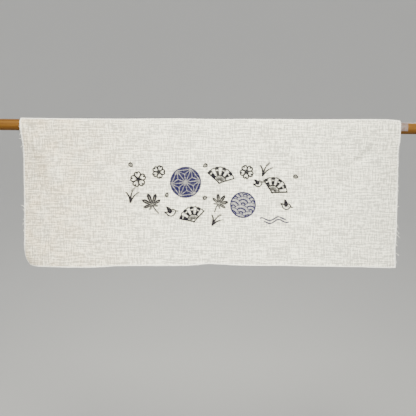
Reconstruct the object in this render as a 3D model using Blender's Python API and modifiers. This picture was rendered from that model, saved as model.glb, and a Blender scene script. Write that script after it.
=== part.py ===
"""Tenugui towel hung from a plain wooden rod.

The towel is one length of thin plain-woven cotton, about 900 by 357 mm. Its long sides are
selvedges and its short sides are raw cuts. Its top margin is pressed onto a strip of paper tape
along the rod's upper front, and the rest hangs straight down with a few soft folds, sides that
turn back a little, and one lower corner that curls back.

Metres, +Z up. X runs along the rod, and the viewer stands at -Y. The origin is on the rod's
axis at the middle of its length.
"""
import math
from collections import namedtuple

import bmesh
import bpy

MM = 0.001

# Rod: a plain round pole, its cut ends eased.
ROD_RADIUS = 13.5 * MM
ROD_LENGTH = 1060.0 * MM
ROD_SIDES = 64
ROD_EASE = 1.0 * MM
ROD_EASE_SEGMENTS = 2
SHARP_EDGE_ANGLE = math.radians(40.0)

# Paper tape along the rod's upper front, as angles above the horizontal through the rod's axis.
PIECE_GAP = 0.3 * MM
TAPE_THICKNESS = 0.5 * MM
TAPE_LOWER_ANGLE = math.radians(-33.0)
TAPE_UPPER_ANGLE = math.radians(84.0)
TAPE_LEFT = -444.0 * MM
TAPE_RIGHT = 468.5 * MM
TAPE_STEPS = 18

# Cloth. The gap to the tape has 0.1 mm to spare for the flats of the two curved surfaces.
CLOTH_THICKNESS = 1.1 * MM
CLOTH_SEAT_GAP = PIECE_GAP + 0.1 * MM
TAPE_OUTER_RADIUS = ROD_RADIUS + PIECE_GAP + TAPE_THICKNESS
CLOTH_RADIUS = TAPE_OUTER_RADIUS + CLOTH_SEAT_GAP + 0.5 * CLOTH_THICKNESS
CLOTH_LIFT_ANGLE = math.radians(40.0)

# Heights of the selvedges above the rod's axis, by the place across the width, in mm.
Selvedge = namedtuple("Selvedge", "across height")
TOP_SELVEDGE = (
    Selvedge(-450.0, 15.5),
    Selvedge(-355.0, 15.0),
    Selvedge(-213.0, 15.5),
    Selvedge(-72.0, 17.8),
    Selvedge(0.0, 17.0),
    Selvedge(105.0, 18.4),
    Selvedge(247.0, 19.1),
    Selvedge(389.0, 21.2),
    Selvedge(424.0, 20.6),
    Selvedge(450.0, 17.8),
)
LOWER_SELVEDGE = (
    Selvedge(-424.0, -330.4),
    Selvedge(-416.0, -334.2),
    Selvedge(-403.0, -337.3),
    Selvedge(-376.0, -339.1),
    Selvedge(-352.0, -339.0),
    Selvedge(-281.0, -338.4),
    Selvedge(-210.0, -334.4),
    Selvedge(-68.0, -332.0),
    Selvedge(-33.0, -330.0),
    Selvedge(3.0, -326.8),
    Selvedge(38.0, -328.4),
    Selvedge(73.0, -330.0),
    Selvedge(215.0, -330.1),
    Selvedge(357.0, -330.8),
    Selvedge(428.0, -332.2),
    Selvedge(442.0, -331.4),
)

# Where the raw ends stand across the width, by height above the rod's axis, in mm.
RawEnds = namedtuple("RawEnds", "height left right")
RAW_ENDS = (
    RawEnds(22.0, -450.0, 449.5),
    RawEnds(0.0, -452.0, 451.5),
    RawEnds(-12.0, -450.3, 451.5),
    RawEnds(-34.0, -446.0, 449.6),
    RawEnds(-50.0, -444.0, 446.8),
    RawEnds(-76.0, -442.0, 446.5),
    RawEnds(-133.0, -440.6, 445.2),
    RawEnds(-198.0, -438.7, 444.6),
    RawEnds(-246.0, -438.2, 443.9),
    RawEnds(-289.0, -437.2, 441.6),
    RawEnds(-306.0, -435.2, 441.8),
    RawEnds(-320.0, -430.0, 442.0),
    RawEnds(-330.4, -424.0, 442.0),
    RawEnds(-340.0, -417.5, 442.0),
)

# Each side turns back beyond a shoulder line: its place by height, and how far the raw end goes
# back there, in mm.
SideTurn = namedtuple("SideTurn", "height left_shoulder left_back right_shoulder right_back")
SIDE_TURNS = (
    SideTurn(-6.0, -440.0, 0.0, 430.0, 0.0),
    SideTurn(-45.0, -415.0, 6.0, 385.0, 4.0),
    SideTurn(-96.0, -382.0, 13.0, 343.0, 9.0),
    SideTurn(-148.0, -350.0, 16.0, 318.0, 12.0),
    SideTurn(-230.0, -345.0, 14.0, 300.0, 14.0),
    SideTurn(-340.0, -350.0, 11.0, 296.0, 15.0),
)

# Soft folds: from one end to the other, half their width and how far they stand back, in mm.
# A fold with a negative depth stands out as a ridge. Each fades in and out over a share of its
# length, and one that reaches the lower selvedge has its end below it.
Fold = namedtuple("Fold", "across height to_across to_height half_width depth")
FOLDS = (
    Fold(414.0, -8.0, 338.0, -102.0, 11.0, 2.6),
    Fold(404.0, 2.0, 318.0, -104.0, 16.0, -1.4),
    Fold(-436.0, -8.0, -346.0, -150.0, 18.0, -2.4),
    Fold(-428.0, -28.0, -418.0, -118.0, 16.0, 3.2),
    Fold(3.0, -150.0, 3.0, -430.0, 26.0, 3.2),
    Fold(-62.0, -110.0, -74.0, -430.0, 46.0, -2.8),
    Fold(62.0, -110.0, 74.0, -430.0, 50.0, -2.4),
    Fold(-168.0, -90.0, -164.0, -430.0, 42.0, 2.2),
    Fold(-262.0, -70.0, -258.0, -430.0, 58.0, -2.6),
    Fold(160.0, -100.0, 164.0, -430.0, 48.0, 1.8),
    Fold(246.0, -70.0, 250.0, -430.0, 50.0, -2.4),
    Fold(384.0, -110.0, 388.0, -430.0, 34.0, -2.2),
)
FOLD_FADE = 0.35

# Slow unevenness over the whole hanging face: wavelengths, shift and height of each wave, in mm.
Wave = namedtuple("Wave", "across_length down_length shift height")
WAVES = (
    Wave(520.0, 610.0, 0.4, 1.3),
    Wave(-310.0, 420.0, 1.7, 0.9),
    Wave(190.0, -330.0, 2.9, 0.5),
)

# The face is free to move from just under the tape, and moves fully from this far down.
FREE_FROM = 9.0 * MM
FREE_AT = 70.0 * MM

# The lower left corner is drawn in and curls back a little beyond a slanting line through a point.
CORNER_LINE_ACROSS = -430.0 * MM
CORNER_LINE_HEIGHT = -285.0 * MM
CORNER_LINE_ANGLE = math.radians(30.0)
CORNER_ROLL_RADIUS = 40.0 * MM

# Mesh steps: each zone's far end, as a share of the length, and its number of cells.
Zone = namedtuple("Zone", "ends_at cells")
ACROSS_ZONES = (Zone(0.065, 8), Zone(0.935, 46), Zone(1.0, 8))
BODY_ZONES = (Zone(0.80, 17), Zone(1.0, 9))
MARGIN_CELLS = 10
MARGIN_END = 7.0 * MM

COLLECTION_NAME = "tenugui_towel_on_rod"

# Finishes: colour and roughness.
Finish = namedtuple("Finish", "name colour roughness")
WOOD = Finish("varnished_wood", (0.36, 0.17, 0.045), 0.42)
PAPER = Finish("paper_tape", (0.44, 0.36, 0.33), 0.6)
COTTON = Finish("undyed_cotton", (0.74, 0.735, 0.67), 0.9)


def clear_scene():
    """Remove the objects that the scene starts with."""
    for item in list(bpy.data.objects):
        bpy.data.objects.remove(item, do_unlink=True)


def make_material(finish):
    """Return a Principled material for a finish."""
    material = bpy.data.materials.new(finish.name)
    material.use_nodes = True
    shader = material.node_tree.nodes["Principled BSDF"]
    shader.inputs["Base Color"].default_value = (*finish.colour, 1.0)
    shader.inputs["Roughness"].default_value = finish.roughness
    shader.inputs["Metallic"].default_value = 0.0
    return material


def adopt(item, collection, finish):
    """Put an object into the model's collection alone and give it its finish."""
    for other in list(item.users_collection):
        other.objects.unlink(item)
    collection.objects.link(item)
    item.data.materials.clear()
    item.data.materials.append(make_material(finish))


def ease(value):
    """Smooth step from 0 to 1, flat at both ends."""
    value = min(max(value, 0.0), 1.0)
    return value * value * (3.0 - 2.0 * value)


def look_up(rows, key, field, place):
    """Value of a table's field at a place along its key field, on a smooth curve, in metres."""
    rows = sorted(rows, key=lambda row: getattr(row, key))
    keys = [getattr(row, key) * MM for row in rows]
    values = [getattr(row, field) * MM for row in rows]
    if place <= keys[0]:
        return values[0]
    if place >= keys[-1]:
        return values[-1]
    index = max(i for i, start in enumerate(keys[:-1]) if start <= place)
    span = keys[index + 1] - keys[index]
    slopes = []
    for i in (index, index + 1):
        before, after = max(i - 1, 0), min(i + 1, len(keys) - 1)
        slopes.append((values[after] - values[before]) / (keys[after] - keys[before]))
    t = (place - keys[index]) / span
    return ((1.0 + 2.0 * t) * (1.0 - t) ** 2 * values[index]
            + t * (1.0 - t) ** 2 * span * slopes[0]
            + t * t * (3.0 - 2.0 * t) * values[index + 1]
            - t * t * (1.0 - t) * span * slopes[1])


def zone_share(step, zones):
    """Share of the length reached after a number of cells through the zones."""
    start = 0.0
    for zone in zones:
        if step <= zone.cells:
            return start + (zone.ends_at - start) * step / zone.cells
        step -= zone.cells
        start = zone.ends_at
    return 1.0


def side_turn_depth(across, height):
    """How far back the turned sides stand at a place on the face."""
    left_end = look_up(RAW_ENDS, "height", "left", height)
    right_end = look_up(RAW_ENDS, "height", "right", height)
    left_shoulder = look_up(SIDE_TURNS, "height", "left_shoulder", height)
    right_shoulder = look_up(SIDE_TURNS, "height", "right_shoulder", height)
    left_share = max(left_shoulder - across, 0.0) / (left_shoulder - left_end)
    right_share = max(across - right_shoulder, 0.0) / (right_end - right_shoulder)
    return (left_share ** 2 * look_up(SIDE_TURNS, "height", "left_back", height)
            + right_share ** 2 * look_up(SIDE_TURNS, "height", "right_back", height))


def fold_depth(across, height):
    """How far back the soft folds stand at a place on the face."""
    depth = 0.0
    for fold in FOLDS:
        run_x = (fold.to_across - fold.across) * MM
        run_z = (fold.to_height - fold.height) * MM
        length = math.hypot(run_x, run_z)
        from_x = across - fold.across * MM
        from_z = height - fold.height * MM
        along = (from_x * run_x + from_z * run_z) / length ** 2
        aside = (from_x * run_z - from_z * run_x) / length
        fades = ease(along / FOLD_FADE) * ease((1.0 - along) / FOLD_FADE)
        depth += fold.depth * MM * fades * math.exp(-(aside / (fold.half_width * MM)) ** 2)
    return depth


def wave_depth(across, height):
    """How far back the slow unevenness stands at a place on the face."""
    depth = 0.0
    for wave in WAVES:
        turn = across / (wave.across_length * MM) + height / (wave.down_length * MM)
        depth += wave.height * MM * math.sin(math.tau * turn + wave.shift)
    return depth


def roll_corner(across, depth, height):
    """Roll a point back where it lies beyond the corner's line."""
    sideways, downward = math.cos(CORNER_LINE_ANGLE), math.sin(CORNER_LINE_ANGLE)
    beyond = (CORNER_LINE_ACROSS - across) * sideways + (CORNER_LINE_HEIGHT - height) * downward
    if beyond <= 0.0:
        return across, depth, height
    turn = beyond / CORNER_ROLL_RADIUS
    shift = beyond - CORNER_ROLL_RADIUS * math.sin(turn)
    back = CORNER_ROLL_RADIUS * (1.0 - math.cos(turn))
    return across + shift * sideways, depth + back, height + shift * downward


def place_across(share, height):
    """Place along the rod at a share of the cloth's width, at a height."""
    left = look_up(RAW_ENDS, "height", "left", height)
    right = look_up(RAW_ENDS, "height", "right", height)
    return left + (right - left) * share


def selvedge_drop(share):
    """Cloth length above and below the rod's front line, at a share of the width."""
    top_height = look_up(TOP_SELVEDGE, "across", "height", place_across(share, 0.0))
    rise = CLOTH_RADIUS * math.sin(CLOTH_LIFT_ANGLE)
    above = CLOTH_RADIUS * CLOTH_LIFT_ANGLE + (top_height - rise) / math.cos(CLOTH_LIFT_ANGLE)
    low_across = place_across(share, LOWER_SELVEDGE[0].height * MM)
    return above, -look_up(LOWER_SELVEDGE, "across", "height", low_across)


def cloth_point(share, row):
    """Point on the cloth's middle surface at a share of the width and a row of the mesh."""
    above, below = selvedge_drop(share)
    if row <= MARGIN_CELLS:
        drop = -above + (above + MARGIN_END) * row / MARGIN_CELLS
    else:
        drop = MARGIN_END + (below - MARGIN_END) * zone_share(row - MARGIN_CELLS, BODY_ZONES)
    if drop >= 0.0:
        height, depth = -drop, -CLOTH_RADIUS
    else:
        angle = min(-drop / CLOTH_RADIUS, CLOTH_LIFT_ANGLE)
        straight = max(-drop - CLOTH_RADIUS * CLOTH_LIFT_ANGLE, 0.0)
        height = CLOTH_RADIUS * math.sin(angle) + straight * math.cos(angle)
        depth = -CLOTH_RADIUS * math.cos(angle) + straight * math.sin(angle)
    across = place_across(share, height)
    freedom = ease((drop - FREE_FROM) / (FREE_AT - FREE_FROM))
    if freedom > 0.0:
        depth += freedom * (side_turn_depth(across, height) + fold_depth(across, height)
                            + wave_depth(across, height))
    return roll_corner(across, depth, height)


def build_rod(collection):
    """The pole that the towel hangs from."""
    bpy.ops.mesh.primitive_cylinder_add(vertices=ROD_SIDES, radius=ROD_RADIUS, depth=ROD_LENGTH,
                                        rotation=(0.0, math.radians(90.0), 0.0))
    rod = bpy.context.object
    rod.name = "rod"
    adopt(rod, collection, WOOD)
    rod.data.shade_smooth()
    rod.data.set_sharp_from_angle(angle=SHARP_EDGE_ANGLE)
    bevel = rod.modifiers.new("eased_ends", "BEVEL")
    bevel.width = ROD_EASE
    bevel.segments = ROD_EASE_SEGMENTS
    bevel.limit_method = "ANGLE"
    return rod


def build_tape(collection):
    """The strip of paper tape, a slice of a tube along the rod's upper front."""
    middle_radius = ROD_RADIUS + PIECE_GAP + 0.5 * TAPE_THICKNESS
    mesh = bpy.data.meshes.new("tape")
    start_y = -middle_radius * math.cos(TAPE_LOWER_ANGLE)
    start_z = middle_radius * math.sin(TAPE_LOWER_ANGLE)
    ends = [(TAPE_LEFT, start_y, start_z), (TAPE_RIGHT, start_y, start_z)]
    mesh.from_pydata(ends, [(0, 1)], [])
    tape = bpy.data.objects.new("tape", mesh)
    adopt(tape, collection, PAPER)
    screw = tape.modifiers.new("round_the_rod", "SCREW")
    screw.axis = "X"
    screw.angle = TAPE_LOWER_ANGLE - TAPE_UPPER_ANGLE
    screw.steps = TAPE_STEPS
    screw.render_steps = TAPE_STEPS
    screw.merge_threshold = 0.0001
    screw.use_normal_flip = True
    solidify = tape.modifiers.new("thickness", "SOLIDIFY")
    solidify.thickness = TAPE_THICKNESS
    solidify.offset = 0.0
    return tape


def build_cloth(collection):
    """The towel, a grid laid on the cloth's surface and thickened."""
    columns = sum(zone.cells for zone in ACROSS_ZONES)
    rows = MARGIN_CELLS + sum(zone.cells for zone in BODY_ZONES)
    grid = bmesh.new()
    bmesh.ops.create_grid(grid, x_segments=columns, y_segments=rows, size=0.5)
    for vert in grid.verts:
        column = round((vert.co.x + 0.5) * columns)
        row = round((0.5 - vert.co.y) * rows)
        vert.co = cloth_point(zone_share(column, ACROSS_ZONES), row)
    mesh = bpy.data.meshes.new("tenugui")
    grid.to_mesh(mesh)
    grid.free()
    mesh.shade_smooth()
    cloth = bpy.data.objects.new("tenugui", mesh)
    adopt(cloth, collection, COTTON)
    solidify = cloth.modifiers.new("thickness", "SOLIDIFY")
    solidify.thickness = CLOTH_THICKNESS
    solidify.offset = 0.0
    solidify.use_even_offset = True
    return cloth


def main():
    """Build the rod, the tape and the towel."""
    clear_scene()
    collection = bpy.data.collections.new(COLLECTION_NAME)
    bpy.context.scene.collection.children.link(collection)
    build_rod(collection)
    build_tape(collection)
    build_cloth(collection)


main()
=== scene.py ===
"""Tenugui towel on a wooden rod: the finished look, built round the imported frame.

Everything is in metres, in the frame's own axes: X along the rod, Z up, the towel's printed face
towards -Y, and the origin on the rod's axis at the middle of its length.
"""
import logging
import math
from dataclasses import dataclass, field
from enum import Enum
from typing import NamedTuple, Optional, Sequence

import bpy
import numpy as np
from mathutils import Matrix, Vector


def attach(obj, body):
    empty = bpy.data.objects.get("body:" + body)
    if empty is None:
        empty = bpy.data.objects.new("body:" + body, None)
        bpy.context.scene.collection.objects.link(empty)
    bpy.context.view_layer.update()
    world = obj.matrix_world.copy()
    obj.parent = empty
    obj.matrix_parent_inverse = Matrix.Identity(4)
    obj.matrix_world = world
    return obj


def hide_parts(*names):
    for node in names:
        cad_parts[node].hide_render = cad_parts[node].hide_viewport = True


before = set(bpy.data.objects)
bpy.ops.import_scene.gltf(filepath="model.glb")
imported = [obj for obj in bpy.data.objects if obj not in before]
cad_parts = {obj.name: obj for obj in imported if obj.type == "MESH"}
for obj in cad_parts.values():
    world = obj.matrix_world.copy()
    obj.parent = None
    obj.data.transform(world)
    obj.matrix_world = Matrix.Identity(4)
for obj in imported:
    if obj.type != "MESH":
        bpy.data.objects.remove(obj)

LOG = logging.getLogger("tenugui")
MM = 0.001
Colour = tuple[float, float, float]
Spot = tuple[np.ndarray, np.ndarray, np.ndarray]
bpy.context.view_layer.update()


class Ink(Enum):
    """The printer's colours. Each value is the name of the mesh attribute that holds its strength."""

    DARK = "ink_dark"
    INDIGO = "ink_indigo"
    BLUE = "ink_blue"


class Face(Enum):
    """The two faces of a sheet."""

    FRONT = 1
    BACK = -1


class Selvedge(NamedTuple):
    """A selvedge's height above the rod's axis at a place across the towel, in mm."""

    across: float
    height: float


class RawEnds(NamedTuple):
    """Where the two raw ends stand across, at a height above the rod's axis, in mm."""

    height: float
    left: float
    right: float


class SideTurn(NamedTuple):
    """Where each side starts to turn back, and how far its raw end stands back, in mm."""

    height: float
    left_shoulder: float
    left_back: float
    right_shoulder: float
    right_back: float


class Fold(NamedTuple):
    """A soft fold between two points, with its half width and its depth back, in mm."""

    across: float
    height: float
    to_across: float
    to_height: float
    half_width: float
    depth: float


class Wave(NamedTuple):
    """One wave of slow unevenness: its two lengths and height in mm, and its shift."""

    across_length: float
    down_length: float
    shift: float
    height: float


def rows(kind: type, *values: tuple[float, ...]) -> tuple:
    """Return a table's rows, all of one kind."""
    return tuple(kind(*row) for row in values)


def ease(value: np.ndarray) -> np.ndarray:
    """Return a smooth step from 0 to 1, flat at both ends."""
    value = np.clip(value, 0.0, 1.0)
    return value * value * (3.0 - 2.0 * value)


def on_curve(rows: Sequence[NamedTuple], key: str, name: str, place: np.ndarray) -> np.ndarray:
    """Read a table's column on a smooth curve through its rows.

    Args:
        rows: The table, with lengths in mm.
        key: The column to look along.
        name: The column to read.
        place: Places along the key column, in metres.

    Returns:
        The column's value at each place, in metres.
    """
    table = sorted((getattr(row, key) * MM, getattr(row, name) * MM) for row in rows)
    keys = np.array([pair[0] for pair in table])
    values = np.array([pair[1] for pair in table])
    before = np.maximum(np.arange(len(keys)) - 1, 0)
    after = np.minimum(np.arange(len(keys)) + 1, len(keys) - 1)
    slopes = (values[after] - values[before]) / (keys[after] - keys[before])
    place = np.clip(place, keys[0], keys[-1])
    index = np.clip(np.searchsorted(keys, place, side="right") - 1, 0, len(keys) - 2)
    span = keys[index + 1] - keys[index]
    t = (place - keys[index]) / span
    return ((1.0 + 2.0 * t) * (1.0 - t) ** 2 * values[index]
            + t * (1.0 - t) ** 2 * span * slopes[index]
            + t * t * (3.0 - 2.0 * t) * values[index + 1]
            - t * t * (1.0 - t) * span * slopes[index + 1])


def ripple(x: np.ndarray, y: np.ndarray, length: float, seed: int, count: int = 7) -> np.ndarray:
    """Return smooth unevenness from -1 to 1 made of a few crossing waves.

    Args:
        x: First coordinates, in metres.
        y: Second coordinates, in metres.
        length: The typical length of a wave, in metres.
        seed: Seed for the directions of the waves.
        count: Number of waves.

    Returns:
        A height at each point.
    """
    draw = np.random.default_rng(seed)
    total = np.zeros_like(x)
    for _ in range(count):
        angle = draw.uniform(0.0, math.pi)
        turn = math.tau / (length * draw.uniform(0.7, 1.5))
        total += np.sin(turn * (x * math.cos(angle) + y * math.sin(angle)) + draw.uniform(0.0, math.tau))
    return total / math.sqrt(2.0 * count)


def new_mesh_object(name: str, points: np.ndarray, faces: Sequence[Sequence[int]]) -> bpy.types.Object:
    """Make a smooth-shaded mesh object and link it to the scene.

    Args:
        name: The piece's name.
        points: Its points, one row each.
        faces: Its faces, as indices of points.

    Returns:
        The new object.
    """
    mesh = bpy.data.meshes.new(name)
    mesh.from_pydata(points.tolist(), [], [list(face) for face in faces])
    mesh.validate()
    mesh.shade_smooth()
    item = bpy.data.objects.new(name, mesh)
    bpy.context.scene.collection.objects.link(item)
    return item


def ring_walls(first: int, gaps: int, sides: int, inward: bool = False) -> list[list[int]]:
    """Return the four-cornered faces between rings of points.

    Args:
        first: The first ring's first point.
        gaps: Number of gaps between rings.
        sides: Number of points in a ring.
        inward: Whether the faces are wound the other way round.

    Returns:
        The faces, ring by ring.
    """
    walls = []
    for here in range(first, first + gaps * sides, sides):
        for side in range(sides):
            there, after = here + sides, (side + 1) % sides
            wall = [here + side, there + side, there + after, here + after]
            walls.append([wall[0], wall[3], wall[2], wall[1]] if inward else wall)
    return walls


def round_edge(number: np.ndarray, steps: int = 1) -> list[int]:
    """Return the numbers of the points round a lattice's edge, in order."""
    return np.concatenate((number[:-1:steps, 0], number[-1, :-1:steps], number[:0:-steps, -1],
                           number[0, :0:-steps])).tolist()


def store(item: bpy.types.Object, name: str, values: np.ndarray) -> None:
    """Keep one number or one vector for each point of a mesh.

    Args:
        item: The mesh object.
        name: The attribute's name.
        values: One row for each point.
    """
    kind, slot = ("FLOAT_VECTOR", "vector") if values.ndim == 2 else ("FLOAT", "value")
    attribute = item.data.attributes.new(name, kind, "POINT")
    attribute.data.foreach_set(slot, np.ascontiguousarray(values, dtype=np.float32).ravel())


class NodeDesk:
    """A material's node tree, with short calls for the nodes that the finishes use."""

    def __init__(self, name: str) -> None:
        """Start a material with its Principled shader.

        Args:
            name: The material's name.
        """
        self.material = bpy.data.materials.new(name)
        self.material.use_nodes = True
        self.tree = self.material.node_tree
        self.shader = self.tree.nodes["Principled BSDF"]

    def link(self, source: object, target: bpy.types.NodeSocket) -> None:
        """Feed a socket.

        Args:
            source: Another socket, or a plain value.
            target: The socket to feed.
        """
        if isinstance(source, bpy.types.NodeSocket):
            self.tree.links.new(source, target)
        else:
            target.default_value = source

    def node(self, kind: str, *sources: object, **settings: object) -> bpy.types.Node:
        """Add a node.

        Args:
            kind: The node's type, without the ShaderNode that all these types start with.
            sources: Sockets or plain values for its first inputs. None leaves an input as it is.
            settings: Its settings by name.

        Returns:
            The new node.
        """
        node = self.tree.nodes.new("ShaderNode" + kind)
        for name, value in settings.items():
            setattr(node, name, value)
        for source, target in zip(sources, node.inputs):
            if source is not None:
                self.link(source, target)
        return node

    def attribute(self, name: str, output: str = "Fac") -> bpy.types.NodeSocket:
        """Return a mesh attribute's socket."""
        return self.node("Attribute", attribute_name=name).outputs[output]

    def position(self) -> bpy.types.NodeSocket:
        """Return the object's own coordinates."""
        return self.node("TexCoord").outputs["Object"]

    def scaled(self, vector: object, scale: Colour) -> bpy.types.NodeSocket:
        """Return a vector with each axis multiplied by its own factor."""
        return self.node("VectorMath", vector, scale, operation="MULTIPLY").outputs[0]

    def shifted(self, vector: object, offset: object) -> bpy.types.NodeSocket:
        """Return the sum of two vectors."""
        return self.node("VectorMath", vector, offset, operation="ADD").outputs[0]

    def noise(self, vector: object, scale: float, detail: float = 2.0, output: str = "Fac",
              roughness: float = 0.5) -> bpy.types.NodeSocket:
        """Return a noise texture at some coordinates, with its scale and its finer layers."""
        return self.node("TexNoise", vector, None, scale, detail, roughness).outputs[output]

    def math(self, operation: str, first: object, second: object = 0.0,
             clamp: bool = False) -> bpy.types.NodeSocket:
        """Return the result of one sum, kept from 0 to 1 if clamp is set."""
        return self.node("Math", first, second, operation=operation, use_clamp=clamp).outputs[0]

    def add(self, first: object, second: object) -> bpy.types.NodeSocket:
        """Return one number added to another."""
        return self.math("ADD", first, second)

    def times(self, first: object, second: object) -> bpy.types.NodeSocket:
        """Return one number multiplied by another."""
        return self.math("MULTIPLY", first, second)

    def remap(self, value: object, low: float, high: float, to_low: float = 0.0,
              to_high: float = 1.0) -> bpy.types.NodeSocket:
        """Return a value stretched from one range to another and kept inside it."""
        return self.node("MapRange", value, low, high, to_low, to_high).outputs["Result"]

    def split(self, vector: object) -> tuple[bpy.types.NodeSocket, ...]:
        """Return a vector's three parts."""
        return tuple(self.node("SeparateXYZ", vector).outputs)

    def mix(self, share: object, first: object, second: object,
            blend: str = "MIX") -> bpy.types.NodeSocket:
        """Return a mix of two colours.

        Args:
            share: How much of the second colour shows.
            first: The first colour or socket.
            second: The second colour or socket.
            blend: The Mix node's way of mixing.

        Returns:
            The mixed colour's socket.
        """
        node = self.node("Mix", share, data_type="RGBA", blend_type=blend)
        for source, index in ((first, 6), (second, 7)):
            if isinstance(source, tuple) and len(source) == 3:
                source = (*source, 1.0)
            self.link(source, node.inputs[index])
        return node.outputs[2]

    def bump(self, height: object, distance: float, strength: float,
             normal: Optional[bpy.types.NodeSocket] = None) -> bpy.types.NodeSocket:
        """Return a bumped normal.

        Args:
            height: The height's socket, from 0 to 1.
            distance: The real height of 1, in metres.
            strength: How strongly the bump shows.
            normal: A normal to add to.

        Returns:
            The normal's socket.
        """
        node = self.node("Bump")
        for name, source in (("Height", height), ("Distance", distance), ("Strength", strength),
                             ("Normal", normal)):
            if source is not None:
                self.link(source, node.inputs[name])
        return node.outputs[0]

    def finish(self, colour: object, roughness: object, normal: Optional[object] = None,
               **fixed: object) -> bpy.types.Material:
        """Feed the shader and return the material.

        Args:
            colour: The base colour or its socket.
            roughness: The roughness or its socket.
            normal: The normal's socket.
            fixed: Other sockets' plain values, with underscores for spaces.

        Returns:
            The finished material.
        """
        self.link(colour, self.shader.inputs["Base Color"])
        self.link(roughness, self.shader.inputs["Roughness"])
        if normal is not None:
            self.link(normal, self.shader.inputs["Normal"])
        for name, value in fixed.items():
            self.shader.inputs[name.replace("_", " ")].default_value = value
        return self.material


@dataclass(frozen=True)
class Slub:
    """One layer of streaks in the cloth: their length and width, and how strongly they show."""

    length: float
    width: float
    strength: float


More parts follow.
